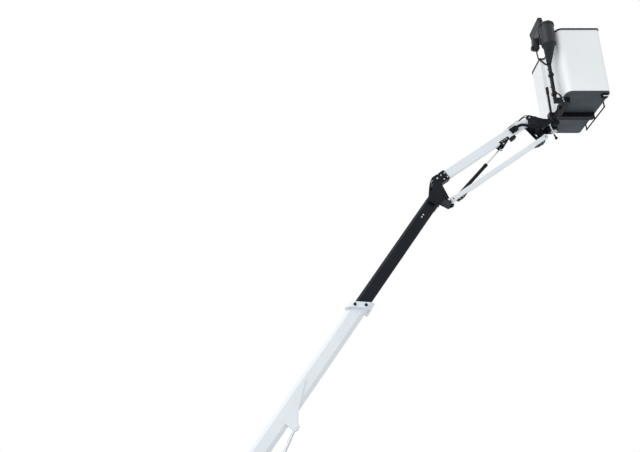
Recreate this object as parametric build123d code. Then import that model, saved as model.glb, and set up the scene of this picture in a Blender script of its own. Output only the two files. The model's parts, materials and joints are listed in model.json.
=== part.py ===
from build123d import *
import os
from math import acos, atan2, cos, degrees, hypot, radians, sin

# An aerial lift for a truck or van: pedestal, turret, telescopic boom, levelled jib and turning bucket.
# Lengths are in millimetres and angles in degrees. X points out along the boom, Y across it, Z up.
# The origin is the centre of the pedestal's bolted face.

# Rest angles above the horizon
boom_rest = 55.0
jib_rest = 35.0

# Fits and gaps
run_fit = 0.05
slide_gap = 0.3
side_gap = 1.0
open_gap = 5.0

# Pedestal
flange_radius = 300.0
flange_thickness = 25.0
bolt_circle = 260.0
bolt_count = 12
bolt_hole = 11.0
column_radius = 190.0
column_wall = 12.0
pedestal_height = 420.0
head_flange = 280.0
rib_count = 8
rib_thickness = 12.0
rib_height = 170.0
rib_foot = 35.0
rib_toe = 25.0

# Slew drive
slew_height = 68.0
slew_outer = 290.0
slew_race = 222.0
slew_bore = 170.0
slew_lift = 7.0
worm_radius = 42.0
worm_length = 420.0
worm_offset = 327.0
worm_saddle = 340.0
worm_flange = 10.0
worm_cover = 22.0
motor_radius = 38.0
motor_length = 150.0
motor_flange = 24.0
motor_port = 13.0
motor_port_rise = 53.0

# Turret
turret_plate = 20.0
turret_radius = 285.0
hose_hole = 130.0
cheek_gap = 118.0
cheek_thickness = 14.0
cheek_boss = 8.0
cheek_front = 430.0
cheek_toe = 90.0
cheek_shoulder = 260.0
cheek_round = 60.0
cheek_web = 12.0
cheek_window = 55.0
back_web = 55.0
cover_depth = 160.0
cover_width = 210.0
cover_height = 330.0
cover_rise = 120.0
cover_round = 40.0
pivot_x = -200.0
pivot_above_plate = 795.0
pivot_boss = 85.0
pivot_pin = 30.0
lift_base_x = 187.0
lift_base_drop = 660.0
lift_base_pin = 25.0
lift_base_boss = 57.0
pin_cap = 8.0
pin_lip = 12.0

# Boom sections: octagons, height by width by corner cut
outer_height = 240.0
outer_width = 200.0
outer_corner = 50.0
outer_wall = 6.0
outer_start = 110.0
outer_end = 3200.0
inner_height = 200.0
inner_width = 150.0
inner_corner = 40.0
inner_wall = 6.0
inner_start = 2300.0
inner_end = 5205.0
rear_plate = 8.0
collar_height = 310.0
collar_width = 268.0
collar_corner = 52.0
collar_length = 100.0
collar_slope = 0.6
collar_round = 30.0
collar_lip = 8.0
collar_lip_length = 14.0
pad_length = 100.0
pad_edge = 5.0
pad_cap_radius = 22.0
pad_cap_height = 9.0
pad_cap_spread = 68.0
guide_length = 76.0
guide_depth = 58.0
guide_width = 56.0
guide_bore = 17.0
guide_behind = 35.0
root_plate = 10.0
root_tube = 50.0
root_reach = 450.0
root_toe = 30.0

# Lift cylinder
lift_pin_along = 1285.0
lift_pin_below = 205.0
lift_pin = 20.0
lift_eye = 40.0
lift_eye_width = 60.0
lift_barrel_radius = 55.0
lift_barrel_wall = 8.0
lift_barrel_end = 1090.0
lift_gland = 60.0
lift_gland_lip = 5.0
lift_base_eye = 58.0
lift_base_width = 80.0
lift_rod_radius = 21.0
lift_rod_length = 960.0
gusset_plate = 12.0
gusset_back = 57.0
gusset_tip = 569.0
gusset_tip_rise = 34.0
gusset_knee = 170.0
gusset_below = 44.0
gusset_round = 35.0
gusset_boss = 30.0

# Elbow head at the end of the inner boom
jib_pivot_along = 5493.0
jib_pivot_above = 134.0
rod_pin_along = 5362.0
rod_pin_below = 242.5
head_gap = 120.0
head_plate = 12.0
head_lap = 100.0
head_step = 90.0
head_heel = 12.0
head_boss = 64.0
head_crown = 170.0
head_round = 24.0
boss_lap = 6.0
rod_boss = 55.0
rod_room = 48.0
jib_pin = 25.0
rod_pin = 20.0
middle_plate = 12.0

# Jib, level rod and jib cylinder
jib_length = 1912.0
jib_height = 146.0
jib_width = 100.0
jib_wall = 5.0
jib_round = 10.0
jib_tube_start = 70.0
jib_tip_reach = 139.0
socket_end = 210.0
socket_wall = 12.0
socket_cut = 45.0
jib_boss = 60.0
tip_boss = 52.0
tip_cap = 14.0
level_size = 80.0
level_wall = 5.0
level_offset = 50.0
level_boss = 45.0
level_shoe = 210.0
level_shoe_depth = 28.0
level_shoe_flat = 126.0
jib_eye_along = 1296.0
jib_eye_below = 104.0
jib_eye = 30.0
jib_eye_width = 42.0
ram_gap = 15.0
jib_lug_boss = 34.0
jib_lug_plate = 10.0
jib_lug_half = 80.0
jib_lug_rise = 30.0
saddle_back = 28.0
saddle_front = 140.0
saddle_top = 48.0
jib_barrel_radius = 29.0
jib_barrel_wall = 6.0
jib_barrel_end = 920.0
jib_gland = 45.0
jib_gland_lip = 2.0
jib_rod_radius = 14.0
jib_rod_length = 880.0
sheath_start = 367.0
sheath_end = 247.0
sheath_height = 96.0
sheath_depth = 38.0
clamp_from_tip = 436.0
clamp_length = 88.0
clamp_depth = 52.0

# Tip bracket, leveller, yoke and rotator
leveller_x = 200.0
leveller_drop = 90.0
leveller_radius = 70.0
leveller_shaft = 30.0
leveller_boss = 80.0
tip_plate = 10.0
tip_bar = 27.0
yoke_plate = 12.0
yoke_boss = 66.0
yoke_end = 50.0
yoke_bridge = 45.0
rotator_x = 423.0
rotator_radius = 62.0
rotator_below = 165.0
rotator_flange = 70.0
rotator_flange_depth = 14.0
king_post = 35.0
king_cap = 49.0
king_cap_depth = 16.0
lever_radius = 8.0
lever_pivot = 22.0
lever_from = (95.0, -42.0)
lever_to = (168.0, -305.0)
lever_knob = 17.0

# Bucket
bucket_x = 447.0
bucket_z = 187.0
bucket_length = 1250.0
bucket_width = 700.0
bucket_height = 1190.0
bucket_draft = 20.0
bucket_boom_radius = 105.0
bucket_step_radius = 45.0
bucket_wall = 8.0
bucket_floor = 12.0
base_pan = 30.0
base_inset = 4.0
rim_height = 26.0
rim_lip = 9.0
rim_cap = 6.0
recess_width = 300.0
recess_depth = 80.0
recess_round = 25.0
beam_height = 86.0
beam_width = 80.0
beam_inset = 20.0
beam_ends = 150.0
cross_width = 100.0
cross_lead = 50.0
cross_short = 40.0
post_radius = 18.0
post_head = 24.0
post_head_length = 120.0
post_top = 480.0
step_drop = 120.0
step_length = 720.0
step_radius = 11.0
step_inset = 15.0
step_leg = 16.0
foot_length = 90.0
foot_width = 60.0
foot_depth = 55.0
foot_inset = 40.0

# Control console
console_x = 323.0
console_y = -450.0
column_size = 44.0
console_below_rim = 577.0
clamp_rises = (0.02, 0.32)
clamp_height = 52.0
clamp_half = 33.0
pot_neck = 34.0
pot_rise = 257.0
pot_toward = -10.0
pot_aside = -130.0
pot_waist = 90.0
pot_radius = 112.0
pot_mouth = 121.0
pot_rim = 129.0
pot_shoulder = 22.0
pot_height = 412.0
pot_rim_height = 34.0
pot_well = 100.0
pot_well_depth = 22.0
screen_length = 410.0
screen_height = 152.0
screen_thickness = 70.0
screen_rise = 619.0
screen_reach = 160.0
screen_lean = 24.0
screen_round = 14.0
box_rise = 470.0
box_height = 190.0
box_half = 105.0
guard_width = 34.0
guard_thickness = 7.0
guard_elbow = 60.0
guard_top = (-118.0, 630.0)
guard_out = (-171.0, 265.0)
guard_low = (-160.0, 112.0)
guard_foot = (-66.0, 10.0)
guard_end = (-10.0, -18.0)


# Plain builders
def standing(face, y_low, y_high):
    """A flat outline in X and Z made into a plate between two Y faces."""
    return extrude(Plane((0, y_high, 0), x_dir=(1, 0, 0), z_dir=(0, -1, 0)) * face, y_high - y_low)


def side_plate(outline, y_low, y_high):
    """A plate with straight edges, standing in the XZ plane."""
    return standing(make_face(Polyline(*outline, close=True)), y_low, y_high)


def link_plate(discs, y_low, y_high):
    """A plate drawn tight round discs of x, z and radius, listed anticlockwise."""
    edges = []
    tangents = []
    for (x1, z1, r1), (x2, z2, r2) in zip(discs, discs[1:] + discs[:1]):
        reach = hypot(x2 - x1, z2 - z1)
        out = atan2(z2 - z1, x2 - x1) - acos((r1 - r2) / reach)
        tangents.append(out)
        start = (x1 + r1 * cos(out), z1 + r1 * sin(out))
        edges.append(Line(start, (x2 + r2 * cos(out), z2 + r2 * sin(out))))
    for (x, z, r), before, after in zip(discs, tangents[-1:] + tangents[:-1], tangents):
        while after < before:
            after += radians(360)
        edges.append(CenterArc((x, z), r, degrees(before), degrees(after - before)))
    return standing(make_face(edges), y_low, y_high)


def across(radius, x, z, y_low, y_high):
    """A round bar along Y."""
    seat = Plane((x, y_low, z), x_dir=(1, 0, 0), z_dir=(0, 1, 0))
    return seat * Cylinder(radius, y_high - y_low, align=(Align.CENTER, Align.CENTER, Align.MIN))


def along(radius, x_low, x_high, y=0.0, z=0.0):
    """A round bar along X."""
    seat = Plane((x_low, y, z), x_dir=(0, 1, 0), z_dir=(1, 0, 0))
    return seat * Cylinder(radius, x_high - x_low, align=(Align.CENTER, Align.CENTER, Align.MIN))


def upright(radius, z_low, z_high, x=0.0, y=0.0):
    """A round bar along Z."""
    return Pos(x, y, z_low) * Cylinder(radius, z_high - z_low, align=(Align.CENTER, Align.CENTER, Align.MIN))


def block(x_low, x_high, y_low, y_high, z_low, z_high):
    """A box given by its faces."""
    size = Box(x_high - x_low, y_high - y_low, z_high - z_low, align=(Align.MIN, Align.MIN, Align.MIN))
    return Pos(x_low, y_low, z_low) * size


def octagon_bar(height, width, corner, x_low, x_high):
    """A bar along X whose section is a rectangle with cut corners."""
    h, w, c = height / 2, width / 2, corner
    upper = [(w, h - c), (w - c, h), (c - w, h), (-w, h - c)]
    corners = upper + [(y, -z) for y, z in reversed(upper)]
    face = make_face(Polyline(*corners, close=True))
    return extrude(Plane.YZ.offset(x_low) * face, x_high - x_low)


def octagon_tube(height, width, corner, wall, x_low, x_high):
    """A hollow octagon bar of even wall, open at both ends."""
    inner_cut = corner - wall * (2 - 2 ** 0.5)
    hole = octagon_bar(height - 2 * wall, width - 2 * wall, inner_cut, x_low, x_high)
    return octagon_bar(height, width, corner, x_low, x_high) - hole


def mirrored(solid):
    """A piece and its mirror image across the boom's plane."""
    return solid + mirror(solid, Plane.XZ)


def group(pieces):
    """Like solids that share a node without touching."""
    return Compound(children=[piece.solid() for piece in pieces])


def turned(angle):
    """A turn in the boom's plane, lifting +X towards +Z."""
    return Rot(0, -angle, 0)


def capped_pin(radius, x, z, y_low, y_high, lip=pin_lip, cap=pin_cap):
    """A pivot pin from one outer face to another, with a round keeper cap beyond each."""
    pin = across(radius, x, z, y_low - cap, y_high + cap)
    pin += across(radius + lip, x, z, y_high, y_high + cap)
    return pin + across(radius + lip, x, z, y_low - cap, y_low)


def span(start, end):
    """Length and rise angle from one pin to another."""
    dx, dz = end[0] - start[0], end[1] - start[1]
    return hypot(dx, dz), degrees(atan2(dz, dx))


def on_boom(x, z):
    """A boom point at rest, as X and Z in the part's frame."""
    c, s = cos(radians(boom_rest)), sin(radians(boom_rest))
    return pivot_x + x * c - z * s, pivot_z + x * s + z * c


def on_jib(origin, x, z):
    """A jib point at rest, measured from a pin, as X and Z in the part's frame."""
    c, s = cos(radians(jib_rest)), sin(radians(jib_rest))
    return origin[0] + x * c - z * s, origin[1] + x * s + z * c


# Places worked out from the driving dimensions
slew_top = pedestal_height + slew_height + slew_lift
slew_middle = pedestal_height + slew_height / 2
deck = slew_top + turret_plate
pivot_z = deck + pivot_above_plate
lift_base = (pivot_x + lift_base_x, pivot_z - lift_base_drop)
jib_pivot = on_boom(jib_pivot_along, jib_pivot_above)
rod_pivot = on_boom(rod_pin_along, -rod_pin_below)
jib_tip = on_jib(jib_pivot, jib_length, 0)
rod_tip = on_jib(rod_pivot, jib_length, 0)
jib_tube_end = jib_length - jib_tip_reach
lift_eye_at = on_boom(lift_pin_along, -lift_pin_below)
jib_eye_at = on_jib(jib_pivot, jib_eye_along, -jib_eye_below)
jib_eye_y = jib_width / 2 + ram_gap + jib_eye_width / 2
lift_length, lift_angle = span(lift_base, lift_eye_at)
ram_length, ram_angle = span(rod_pivot, jib_eye_at)
level_near = -level_offset - level_size / 2
level_far = -level_offset + level_size / 2
leveller = (jib_tip[0] + leveller_x, jib_tip[1] - leveller_drop)
rotator_axis = jib_tip[0] + rotator_x
bucket_floor_z = jib_tip[1] + bucket_z
bucket_near = jib_tip[0] + bucket_x
bucket_far = bucket_near + bucket_width
bucket_mid = bucket_near + bucket_width / 2
bucket_top = bucket_floor_z + bucket_height
beam_top = bucket_floor_z - base_pan
beam_low = beam_top - beam_height
console_at = jib_tip[0] + console_x
console_low = bucket_top - console_below_rim

# Each moving group's own axes, laid at rest in the part's frame
boom_place = Pos(pivot_x, 0, pivot_z) * turned(boom_rest)
jib_place = Pos(jib_pivot[0], 0, jib_pivot[1]) * turned(jib_rest)
rod_place = Pos(rod_pivot[0], 0, rod_pivot[1]) * turned(jib_rest)
lift_place = Pos(lift_base[0], 0, lift_base[1]) * turned(lift_angle)
ram_place = Pos(rod_pivot[0], jib_eye_y, rod_pivot[1]) * turned(ram_angle)


# Pedestal
def pedestal_column():
    body = upright(flange_radius, 0, flange_thickness)
    body += upright(head_flange, pedestal_height - flange_thickness, pedestal_height)
    body += upright(column_radius, 0, pedestal_height)
    root = column_radius - column_wall / 2
    toe = column_radius + rib_foot
    rib_outline = [
        (root, flange_thickness),
        (toe, flange_thickness),
        (toe, flange_thickness + rib_toe),
        (root, flange_thickness + rib_height),
    ]
    rib = side_plate(rib_outline, -rib_thickness / 2, rib_thickness / 2)
    for i in range(rib_count):
        body += Rot(0, 0, (i + 0.5) * 360 / rib_count) * rib
    body -= upright(column_radius - column_wall, 0, pedestal_height)
    hole = upright(bolt_hole, 0, flange_thickness, x=bolt_circle)
    for i in range(bolt_count):
        body -= Rot(0, 0, i * 360 / bolt_count) * hole
    return body


def slew_drive():
    low, high = pedestal_height, pedestal_height + slew_height
    end, half = worm_length / 2, worm_cover / 2
    body = upright(slew_outer, low, high)
    body += block(-worm_saddle / 2, worm_saddle / 2, slew_race, worm_offset, low, high)
    body += along(worm_radius, -end, end, worm_offset, slew_middle)
    for x in (-end, end):
        body += along(worm_radius + worm_flange, x - half, x + half, worm_offset, slew_middle)
    return body - upright(slew_race, low, high)


def slew_motor():
    start = worm_length / 2 + worm_cover / 2
    middle = start + motor_length / 2
    body = along(motor_radius + worm_flange, start, start + motor_flange, worm_offset, slew_middle)
    body += along(motor_radius, start, start + motor_length, worm_offset, slew_middle)
    return body + upright(motor_port, slew_middle, slew_middle + motor_port_rise, middle, worm_offset)


def slew_race_ring():
    low = pedestal_height + slew_lift
    return upright(slew_race - slide_gap, low, slew_top) - upright(slew_bore, low, slew_top)


# Turret
def turret_frame():
    plate = upright(turret_radius, slew_top, deck) - upright(hose_hole, slew_top, deck)
    back = pivot_x - back_web
    front = pivot_x + cheek_front
    outline = make_face(Polyline(
        (back, deck),
        (front, deck),
        (front, deck + cheek_toe),
        (pivot_x + pivot_boss, pivot_z - cheek_shoulder),
        (pivot_x + pivot_boss, pivot_z),
        (pivot_x - pivot_boss, pivot_z),
        (pivot_x - pivot_boss, pivot_z - cheek_shoulder),
        close=True,
    ))
    shoulders = [v for v in outline.vertices() if deck < v.Y < pivot_z]
    low, high = cheek_gap, cheek_gap + cheek_thickness
    cheek = standing(fillet(shoulders, cheek_round), low, high)
    window_z = (pivot_z + lift_base[1]) / 2
    for radius, x, z in ((pivot_boss, pivot_x, pivot_z), (lift_base_boss, *lift_base)):
        cheek += across(radius, x, z, low, high + cheek_boss)
    for radius, x, z in (
        (pivot_pin, pivot_x, pivot_z),
        (lift_base_pin, *lift_base),
        (cheek_window, pivot_x, window_z),
    ):
        cheek -= across(radius, x, z, low, high + cheek_boss)
    rear = block(back, back + cheek_web, -low, low, deck, pivot_z - cheek_shoulder)
    toe = block(front - cheek_web, front, -low, low, deck, deck + cheek_toe)
    return plate + mirrored(cheek) + rear + toe


def turret_pin(radius, at):
    reach = cheek_gap + cheek_thickness + cheek_boss
    return capped_pin(radius, *at, -reach, reach)


def valve_cover():
    back = pivot_x - back_web
    low = deck + cover_rise
    cover = block(back - cover_depth, back, -cover_width / 2, cover_width / 2, low, low + cover_height)
    return fillet(cover.edges().filter_by(Axis.X, reverse=True).group_by(Axis.X)[0], cover_round)


# Lift cylinder, built along X from its base pin
def lift_barrel():
    half = lift_base_width / 2
    gland = lift_barrel_end - lift_gland
    body = along(lift_barrel_radius, lift_base_pin + lift_barrel_wall, lift_barrel_end)
    body += along(lift_barrel_radius + lift_gland_lip, gland, lift_barrel_end)
    body += across(lift_base_eye, 0, 0, -half, half)
    body -= along(lift_barrel_radius - lift_barrel_wall, lift_base_eye + lift_barrel_wall, gland)
    body -= along(lift_rod_radius + run_fit, gland, lift_barrel_end)
    body -= across(lift_base_pin + run_fit, 0, 0, -lift_barrel_radius, lift_barrel_radius)
    return lift_place * body


def lift_rod():
    pin_half = outer_width / 2 - slide_gap
    body = along(lift_rod_radius, lift_length - lift_rod_length, lift_length)
    body += across(lift_eye, lift_length, 0, -lift_eye_width / 2, lift_eye_width / 2)
    return lift_place * (body + across(lift_pin, lift_length, 0, -pin_half, pin_half))


# Outer boom, built along X from its pivot
def mouth_slab(x_low, x_high):
    """The room between two planes that lean with the boom's mouth, larger than the collar."""
    lead = collar_slope * collar_height
    outline = [
        (x_low + lead, -collar_height),
        (x_high + lead, -collar_height),
        (x_high - lead, collar_height),
        (x_low - lead, collar_height),
    ]
    return side_plate(outline, -collar_width, collar_width)


def outer_boom_tube():
    reach = outer_end + collar_slope * outer_height / 2
    tube = octagon_tube(outer_height, outer_width, outer_corner, outer_wall, outer_start, reach)
    return boom_place * (tube - mouth_slab(outer_end, outer_end + outer_height))


def boom_root():
    low, high = outer_width / 2, outer_width / 2 + root_plate
    boss = pivot_boss - open_gap
    discs = [(0, 0, boss), (root_reach - root_toe, 0, root_toe)]
    body = mirrored(link_plate(discs, low, high)) + across(root_tube, 0, 0, -high, high)
    return boom_place * (body - across(pivot_pin + run_fit, 0, 0, -high, high))


def boom_rear_cap():
    start = outer_start - rear_plate
    return boom_place * octagon_bar(outer_height, outer_width, outer_corner, start, outer_start)


def lift_bracket():
    low, high = outer_width / 2, outer_width / 2 + gusset_plate
    back = lift_pin_along - gusset_back
    bottom = -lift_pin_below - gusset_below
    outline = make_face(Polyline(
        (back, 0),
        (lift_pin_along + gusset_tip, gusset_tip_rise),
        (lift_pin_along + gusset_knee, -outer_height / 2),
        (lift_pin_along + gusset_below, -lift_pin_below),
        (lift_pin_along + gusset_below, bottom),
        (back, bottom),
        close=True,
    ))
    plate = standing(fillet(outline.vertices().group_by(Axis.Y)[0], gusset_round), low, high)
    plate += across(gusset_boss, lift_pin_along, -lift_pin_below, high, high + pin_cap)
    return boom_place * mirrored(plate)


def boom_collar():
    start = outer_end - collar_length
    lead = collar_slope * collar_height
    grow = 2 * collar_lip
    ends = (start - lead, outer_end + lead)
    band = octagon_bar(collar_height, collar_width, collar_corner, *ends)
    lip = octagon_bar(collar_height + grow, collar_width + grow, collar_corner, *ends)
    body = fillet(band.edges().filter_by(Axis.X), collar_round) & mouth_slab(start, outer_end)
    lip = fillet(lip.edges().filter_by(Axis.X), collar_round)
    body += lip & mouth_slab(start, start + collar_lip_length)
    return boom_place * (body - octagon_bar(outer_height, outer_width, outer_corner, *ends))


def pad_caps():
    low, high = collar_width / 2, collar_width / 2 + pad_cap_height
    caps = []
    for z in (-pad_cap_spread, pad_cap_spread):
        x = outer_end - collar_length / 2 - collar_slope * z
        caps.append(across(pad_cap_radius, x, z, low, high))
        caps.append(across(pad_cap_radius, x, z, -high, -low))
    return boom_place * group(caps)


def collar_bracket():
    end = outer_end - guide_behind
    start = end - guide_length
    top = -outer_height / 2
    bore_z = top - guide_depth / 2
    discs = [(start + guide_bore, bore_z, guide_bore), (end - guide_bore, bore_z, guide_bore)]
    lug = link_plate(discs, -guide_width / 2, guide_width / 2)
    lug += block(start, end, -guide_width / 2, guide_width / 2, bore_z, top)
    return boom_place * (lug - along(guide_bore / 2, start, end, 0, bore_z))


def wear_pads(x_low, seat_height, seat_width, gap_height, gap_width, slope=0.0):
    """Four slide pads, top, bottom and both sides, from a seat to a gap, set back by the mouth's slope."""
    top_half = inner_width / 2 - inner_corner - pad_edge
    side_half = inner_height / 2 - inner_corner - pad_edge
    low_z, high_z = sorted((seat_height / 2, gap_height / 2))
    low_y, high_y = sorted((seat_width / 2, gap_width / 2))
    top, side = x_low - slope * high_z, x_low - slope * side_half
    under = x_low + slope * high_z
    pads = [
        block(top, top + pad_length, -top_half, top_half, low_z, high_z),
        block(under, under + pad_length, -top_half, top_half, -high_z, -low_z),
        block(side, side + pad_length, low_y, high_y, -side_half, side_half),
        block(side, side + pad_length, -high_y, -low_y, -side_half, side_half),
    ]
    return boom_place * group(pads)


outer_room = (outer_height - 2 * outer_wall, outer_width - 2 * outer_wall)


def front_pads():
    start, gap = outer_end - pad_length, 2 * slide_gap
    return wear_pads(start, *outer_room, inner_height + gap, inner_width + gap, collar_slope)


def rear_pads():
    gap = 2 * slide_gap
    return wear_pads(inner_start, inner_height, inner_width, outer_room[0] - gap, outer_room[1] - gap)


# Inner boom and elbow head
def inner_boom_tube():
    tube = octagon_tube(inner_height, inner_width, inner_corner, inner_wall, inner_start, inner_end)
    return boom_place * tube


def head_cheek(front, y_low, y_high):
    """One cheek of the elbow head: a shared back and crown, closed by its own front edge."""
    outline = make_face(Polyline(
        (inner_end - head_lap, inner_height / 4),
        (jib_pivot_along - head_crown, jib_pivot_above - head_boss / 3),
        (jib_pivot_along, jib_pivot_above + head_boss - boss_lap),
        (jib_pivot_along + head_boss / 2, jib_pivot_above),
        *front,
        (rod_pin_along - head_step - head_heel, -inner_height / 2),
        (inner_end - head_lap, -inner_height / 2),
        close=True,
    ))
    cheek = standing(outline, y_low, y_high)
    cheek += across(head_boss, jib_pivot_along, jib_pivot_above, y_low, y_high)
    return cheek - across(jib_pin, jib_pivot_along, jib_pivot_above, y_low, y_high)


def elbow_head():
    low, high = head_gap, head_gap + head_plate
    heel = -rod_pin_below - head_heel
    start = rod_pin_along - head_step
    bottom = -inner_height / 2 - head_plate
    near_front = [(rod_pin_along - rod_room, -rod_pin_below + rod_room)]
    far_front = [
        (rod_pin_along + rod_boss / 2, -rod_pin_below),
        (rod_pin_along, -rod_pin_below - rod_boss + boss_lap),
        (start, heel),
    ]
    body = head_cheek(near_front, -high, -low) + head_cheek(far_front, low, high)
    body += across(rod_boss, rod_pin_along, -rod_pin_below, low, high)
    ear = (rod_pin_along, -rod_pin_below, rod_boss - head_plate)
    body += link_plate([ear, (start + rod_boss, -rod_pin_below + head_round, head_round)], 0, middle_plate)
    body += block(start, start + rod_boss, 0, middle_plate, heel, -inner_height / 2)
    body += block(inner_end, inner_end + head_plate, -low, low, bottom, jib_pivot_above - head_boss)
    body += block(start, start + head_plate, -low, low, heel, -inner_height / 2)
    flat = inner_height / 2 - inner_corner
    packer = block(inner_end - head_lap, inner_end + head_plate, inner_width / 2, low, -flat, flat)
    body += mirrored(packer)
    for y_low, y_high in ((0, middle_plate), (low, high)):
        body -= across(rod_pin, rod_pin_along, -rod_pin_below, y_low, y_high)
    return boom_place * body


def elbow_pin():
    reach = head_gap + head_plate
    return boom_place * capped_pin(jib_pin, jib_pivot_along, jib_pivot_above, -reach, reach)


def level_rod_pin():
    pin = capped_pin(rod_pin, rod_pin_along, -rod_pin_below, level_near - side_gap, head_gap + head_plate)
    return boom_place * pin


# Jib, built along X from its pivot
def jib_root():
    width = jib_width / 2 + socket_wall
    height = jib_height / 2 + socket_wall
    outline = [
        (0, jib_boss - boss_lap),
        (jib_tube_start - socket_wall, height - socket_cut / 2),
        (jib_tube_start + socket_cut, height),
        (socket_end, height),
        (socket_end, -height),
        (jib_tube_start - socket_wall, -height),
        (0, boss_lap - jib_boss),
    ]
    boss_half = head_gap - side_gap
    body = side_plate(outline, -width, width) + across(jib_boss, 0, 0, -boss_half, boss_half)
    body -= block(jib_tube_start, socket_end, -jib_width / 2, jib_width / 2, -jib_height / 2, jib_height / 2)
    return jib_place * (body - across(jib_pin + run_fit, 0, 0, -boss_half, boss_half))


def jib_tube():
    w, h = jib_width / 2, jib_height / 2
    tube = block(jib_tube_start, jib_tube_end, -w, w, -h, h)
    tube = fillet(tube.edges().filter_by(Axis.X), jib_round)
    iw, ih = w - jib_wall, h - jib_wall
    return jib_place * (tube - block(jib_tube_start, jib_tube_end, -iw, iw, -ih, ih))


def jib_tip_lug():
    w, h = jib_width / 2, jib_height / 2
    boss_half = head_gap - side_gap
    lap = tip_boss - boss_lap
    neck = [(jib_tube_end, h), (jib_length, lap), (jib_length, -lap), (jib_tube_end, -h)]
    body = block(jib_tube_end, jib_tube_end + tip_cap, -w, w, -h, h)
    body += side_plate(neck, jib_round - w, w - jib_round)
    body += across(tip_boss, jib_length, 0, -boss_half, boss_half)
    return jib_place * (body - across(jib_pin + run_fit, jib_length, 0, -boss_half, boss_half))


def jib_ram_lug():
    w, h = jib_width / 2, jib_height / 2
    foot = jib_round
    eye = (jib_eye_along, -jib_eye_below, jib_lug_boss)
    back, front = jib_eye_along - jib_lug_half, jib_eye_along + jib_lug_half
    root = jib_lug_rise + foot
    far = w + ram_gap + jib_eye_width + side_gap
    outer = link_plate([(back, root, foot), eye, (front, root, foot)], far, far + jib_lug_plate)
    outer += block(back, front, w, far + jib_lug_plate, jib_lug_rise, h - foot)
    back, front = jib_eye_along - saddle_back, jib_eye_along + saddle_front
    saddle = link_plate([eye, (front, -h, foot), (back, -h, foot)], w - jib_lug_boss, w)
    saddle -= block(back - jib_lug_boss, front + foot, -w, w, -h, 0)
    saddle += across(jib_eye, jib_eye_along, -jib_eye_below, w - foot, w + ram_gap - side_gap)
    saddle += block(back, front, -w - jib_lug_plate, w, -h - foot, -h)
    corners = [eye, (front, -h, foot), (front, -saddle_top, foot), (back, -saddle_top, foot)]
    saddle += link_plate(corners, -w - jib_lug_plate, -w)
    return jib_place * group([saddle, outer])


def hose_sheath():
    w = jib_width / 2
    half = sheath_height / 2
    body = block(jib_length - sheath_start, jib_length - sheath_end, -w - sheath_depth, -w, -half, half)
    return jib_place * fillet(body.edges().filter_by(Axis.X).group_by(Axis.Y)[0], sheath_depth / 2)


def jib_clamp():
    w, h = jib_width / 2 - jib_round, jib_height / 2
    start = jib_length - clamp_from_tip
    body = block(start, start + clamp_length, -w, w, -h - clamp_depth, -h)
    return jib_place * fillet(body.edges().filter_by(Axis.Y).group_by(Axis.Z)[0], jib_round)


# Level rod, built along X from its lower pin
def level_rod():
    half = level_size / 2
    tube = block(level_boss / 2, jib_length - level_boss / 2, level_near, level_far, -half, half)
    tube = fillet(tube.edges().filter_by(Axis.X), 2 * level_wall)
    inner = level_size - 2 * level_wall
    for x in (0, jib_length):
        tube += across(level_boss, x, 0, level_near, level_far)
    room = Pos(jib_length / 2, -level_offset, 0) * Box(jib_length - 4 * level_boss, inner, inner)
    tube -= room
    for x in (0, jib_length):
        tube -= across(rod_pin + run_fit, x, 0, level_near, level_far)
    return rod_place * tube


def level_shoes():
    low = -level_size / 2
    shoes = []
    for start, toward in ((level_boss, 1), (jib_length - level_boss, -1)):
        outline = [
            (start, low),
            (start + toward * level_shoe, low),
            (start + toward * level_shoe_flat, low - level_shoe_depth),
            (start + toward * level_boss / 2, low - level_shoe_depth),
        ]
        shoes.append(side_plate(outline, level_near + 2 * level_wall, level_far - 2 * level_wall))
    return rod_place * group(shoes)


# Jib cylinder, built along X from its base pin
def jib_barrel():
    half = jib_eye_width / 2
    gland = jib_barrel_end - jib_gland
    body = along(jib_barrel_radius, rod_pin + jib_barrel_wall, jib_barrel_end)
    body += along(jib_barrel_radius + jib_gland_lip, gland, jib_barrel_end)
    body += across(jib_barrel_radius + jib_barrel_wall, 0, 0, -half, half)
    body -= along(jib_barrel_radius - jib_barrel_wall, jib_barrel_radius + 2 * jib_barrel_wall, gland)
    body -= along(jib_rod_radius + run_fit, gland, jib_barrel_end)
    return ram_place * (body - across(rod_pin + run_fit, 0, 0, -jib_barrel_radius, jib_barrel_radius))


def jib_rod():
    half = jib_eye_width / 2
    body = along(jib_rod_radius, ram_length - jib_rod_length, ram_length)
    return ram_place * (body + across(jib_eye, ram_length, 0, -half, half))


# Tip bracket and leveller
def tip_bracket():
    low, high = head_gap, head_gap + tip_plate
    tip, rod, turn = (*jib_tip, tip_boss), (*rod_tip, level_boss), (*leveller, leveller_boss)
    bars = [(*jib_tip, tip_bar), (*rod_tip, tip_bar), (*leveller, tip_bar)]
    body = link_plate([tip, turn], -high, -low) + link_plate([tip, turn], low, high)
    body += link_plate(bars[:2], low, high)
    body += link_plate(bars[1:], low, high) + link_plate(bars[1:], 0, middle_plate)
    for y_low, y_high in ((0, middle_plate), (low, high)):
        body += across(level_boss - open_gap, *rod_tip, y_low, y_high)
    body += across(leveller_radius, *leveller, -low, low)
    body -= across(leveller_shaft + run_fit, *leveller, -high, high)
    body -= across(jib_pin, *jib_tip, -high, high)
    return body - across(rod_pin, *rod_tip, -high, high)


def jib_tip_pin():
    reach = head_gap + tip_plate
    return capped_pin(jib_pin, *jib_tip, -reach, reach, cap=open_gap - side_gap)


def level_tip_pin():
    return capped_pin(rod_pin, *rod_tip, level_near - side_gap, head_gap + tip_plate, cap=open_gap - side_gap)


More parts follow.
